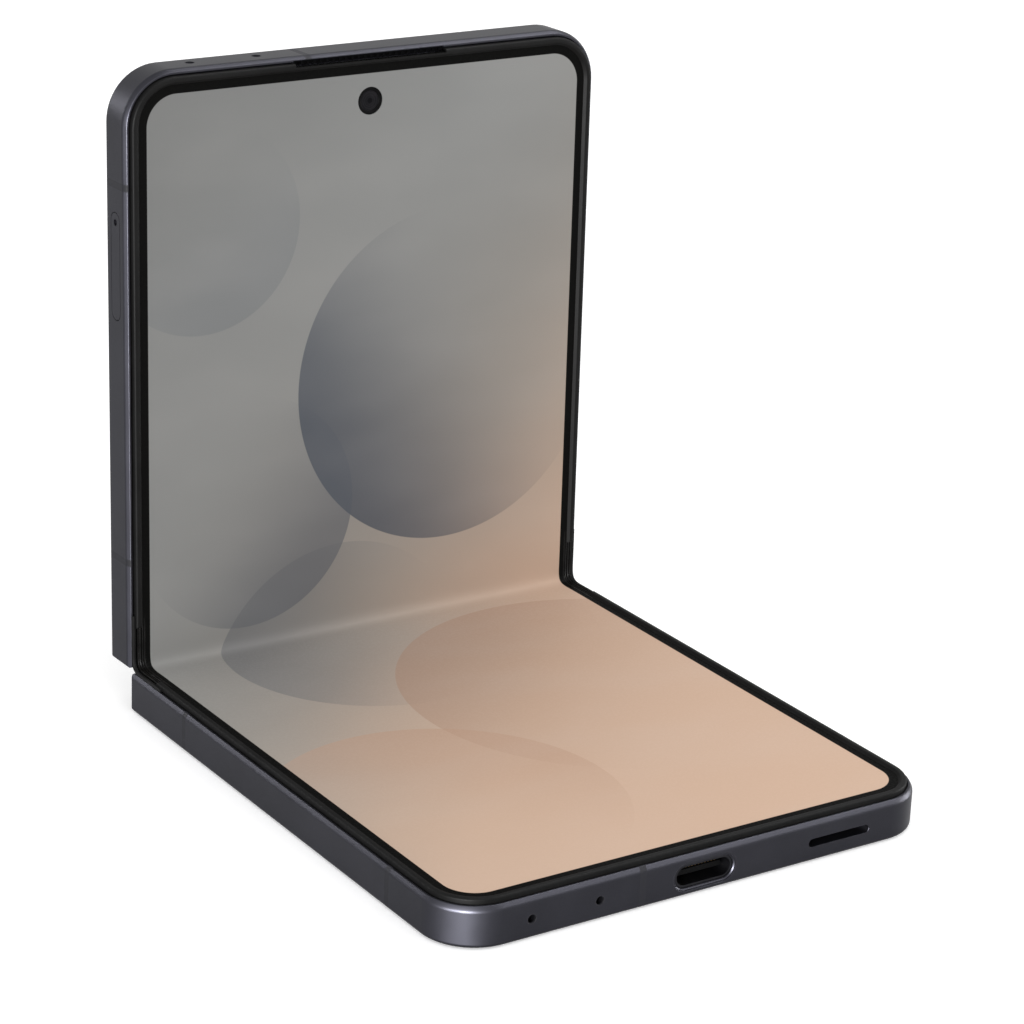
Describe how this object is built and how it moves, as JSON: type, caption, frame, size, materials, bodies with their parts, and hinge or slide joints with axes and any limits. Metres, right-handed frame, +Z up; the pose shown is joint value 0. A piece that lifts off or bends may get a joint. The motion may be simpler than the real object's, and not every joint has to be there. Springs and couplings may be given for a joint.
{
  "type": "foldable smartphone",
  "caption": "Clamshell foldable smartphone, open at a right angle, with a two-axis geared hinge, bending display, side keys, card tray and charging socket.",
  "frame": {"origin": "centre of the flat back of the lower half, which lies on the table", "axes": "+Z up, out of the lower display; +Y towards the hinge; +X to the right seen from the front"},
  "size_m": [0.0755, 0.0926, 0.0902],
  "materials": {
    "anodised_metal": "anodised, dark blue grey, satin",
    "antenna_plastic": "smooth",
    "back_glass": "matte etched glass",
    "rim_plastic": "satin",
    "display": "glossy film over a lit screen",
    "black_plastic": "satin",
    "steel": "fine brushed",
    "battery_wrap": "smooth wrap",
    "circuit_board": "solder mask",
    "copper": "wound copper",
    "lens_glass": "coated",
    "flash_plastic": "diffusing"
  },
  "bodies": {
    "lower_half": {"lower_frame": "anodised_metal", "lower_antenna_bands": "antenna_plastic", "lower_back_cover": "back_glass", "lower_rim": "rim_plastic", "display_lower": "display", "lower_display_plate": "steel", "lower_battery": "battery_wrap", "charge_board": "circuit_board", "usb_shell": "steel", "usb_tongue": "black_plastic", "speaker": "black_plastic", "speaker_mesh": "steel", "bottom_microphones": "steel", "vibration_motor": "steel", "charging_coil": "copper", "lower_screws": "steel", "lower_hinge_brackets": "steel"},
    "hinge": {"spine_cover": "anodised_metal", "spine_end_caps": "black_plastic", "centre_plate": "steel", "hinge_housings": "steel", "hinge_shafts": "steel", "detent_followers": "steel", "detent_springs": "steel", "display_fold": "display"},
    "upper_half": {"upper_frame": "anodised_metal", "upper_antenna_bands": "antenna_plastic", "upper_back_cover": "back_glass", "upper_rim": "rim_plastic", "display_upper": "display", "upper_display_plate": "steel", "upper_battery": "battery_wrap", "main_board": "circuit_board", "board_shields": "steel", "cover_display": "black_plastic", "camera_rings": "anodised_metal", "camera_lenses": "lens_glass", "camera_modules": "black_plastic", "flash_lens": "flash_plastic", "front_camera": "black_plastic", "earpiece": "black_plastic", "earpiece_mesh": "steel", "top_microphones": "steel", "card_reader": "steel", "key_switches": "steel", "upper_screws": "steel", "upper_hinge_brackets": "steel"},
    "lower_arms": {"lower_arms": "steel"},
    "upper_arms": {"upper_arms": "steel"},
    "idler_gears_lower": {"idler_gears_lower": "steel"},
    "idler_gears_upper": {"idler_gears_upper": "steel"},
    "lower_wing_plate": {"lower_wing_plate": "steel"},
    "upper_wing_plate": {"upper_wing_plate": "steel"},
    "card_tray": {"card_tray": "anodised_metal"},
    "eject_rod": {"eject_rod": "steel"},
    "eject_lever": {"eject_lever": "steel"},
    "volume_key": {"volume_key": "anodised_metal"},
    "side_key": {"side_key": "anodised_metal"}
  },
  "joints": [
    {"name": "lower_fold", "type": "hinge", "parent": "lower_half", "child": "hinge", "pos_m": [0, 0.0412, 0.00575], "axis": [1, 0, 0], "range_deg": [-44.5, 45.5], "deforming": ["display_fold"]},
    {"name": "upper_fold", "type": "hinge", "parent": "hinge", "child": "upper_half", "pos_m": [0, 0.04248, 0.00701], "axis": [1, 0, 0], "range_deg": [-44.5, 45.5], "deforming": ["display_fold"]},
    {"name": "lower_arm_turn", "type": "hinge", "parent": "hinge", "child": "lower_arms", "pos_m": [0, 0.04143, 0.00338], "axis": [1, 0, 0], "range_deg": [-45.5, 44.5]},
    {"name": "upper_arm_turn", "type": "hinge", "parent": "hinge", "child": "upper_arms", "pos_m": [0, 0.04485, 0.00674], "axis": [1, 0, 0], "range_deg": [-44.5, 45.5]},
    {"name": "lower_idler_turn", "type": "hinge", "parent": "hinge", "child": "idler_gears_lower", "pos_m": [0, 0.04257, 0.0045], "axis": [1, 0, 0], "range_deg": [-44.5, 45.5]},
    {"name": "upper_idler_turn", "type": "hinge", "parent": "hinge", "child": "idler_gears_upper", "pos_m": [0, 0.04371, 0.00562], "axis": [1, 0, 0], "range_deg": [-45.5, 44.5]},
    {"name": "lower_wing_tilt", "type": "hinge", "parent": "lower_half", "child": "lower_wing_plate", "pos_m": [0, 0.0342, 0.00575], "axis": [1, 0, 0], "range_deg": [-6.08, 5.94]},
    {"name": "upper_wing_tilt", "type": "hinge", "parent": "upper_half", "child": "upper_wing_plate", "pos_m": [0, 0.04261, 0.01401], "axis": [1, 0, 0], "range_deg": [-5.94, 6.08]},
    {"name": "card_tray_slide", "type": "slide", "parent": "upper_half", "child": "card_tray", "axis": [-1, 0, 0], "range_m": [0, 0.0155]},
    {"name": "eject_rod_push", "type": "slide", "parent": "upper_half", "child": "eject_rod", "axis": [1, 0, 0], "range_m": [0, 0.0006]},
    {"name": "eject_lever_turn", "type": "hinge", "parent": "upper_half", "child": "eject_lever", "pos_m": [-0.0209, 0.04637, 0.06615], "axis": [0, -0.9998, 0.0175], "range_deg": [-10.16, 0]},
    {"name": "volume_key_rock", "type": "hinge", "parent": "upper_half", "child": "volume_key", "pos_m": [0.0349, 0.04632, 0.06365], "axis": [0, -0.9998, 0.0175], "range_deg": [-1.2, 1.2], "stiffness_Nm_per_rad": 0.05},
    {"name": "side_key_press", "type": "slide", "parent": "upper_half", "child": "side_key", "axis": [-1, 0, 0], "range_m": [0, 0.00025], "stiffness_N_per_m": 1500}
  ],
  "couplings": [
    {"joint": "upper_fold", "follows": "lower_fold", "ratio": 1},
    {"joint": "lower_arm_turn", "follows": "lower_fold", "ratio": -1},
    {"joint": "upper_arm_turn", "follows": "lower_fold", "ratio": 1},
    {"joint": "lower_idler_turn", "follows": "lower_fold", "ratio": 1},
    {"joint": "upper_idler_turn", "follows": "lower_fold", "ratio": -1},
    {"joint": "lower_wing_tilt", "follows": "lower_fold", "ratio": -0.13333},
    {"joint": "upper_wing_tilt", "follows": "lower_fold", "ratio": 0.13333},
    {"joint": "eject_lever_turn", "follows": "eject_rod_push", "rad_per_m": -294.12}
  ]
}
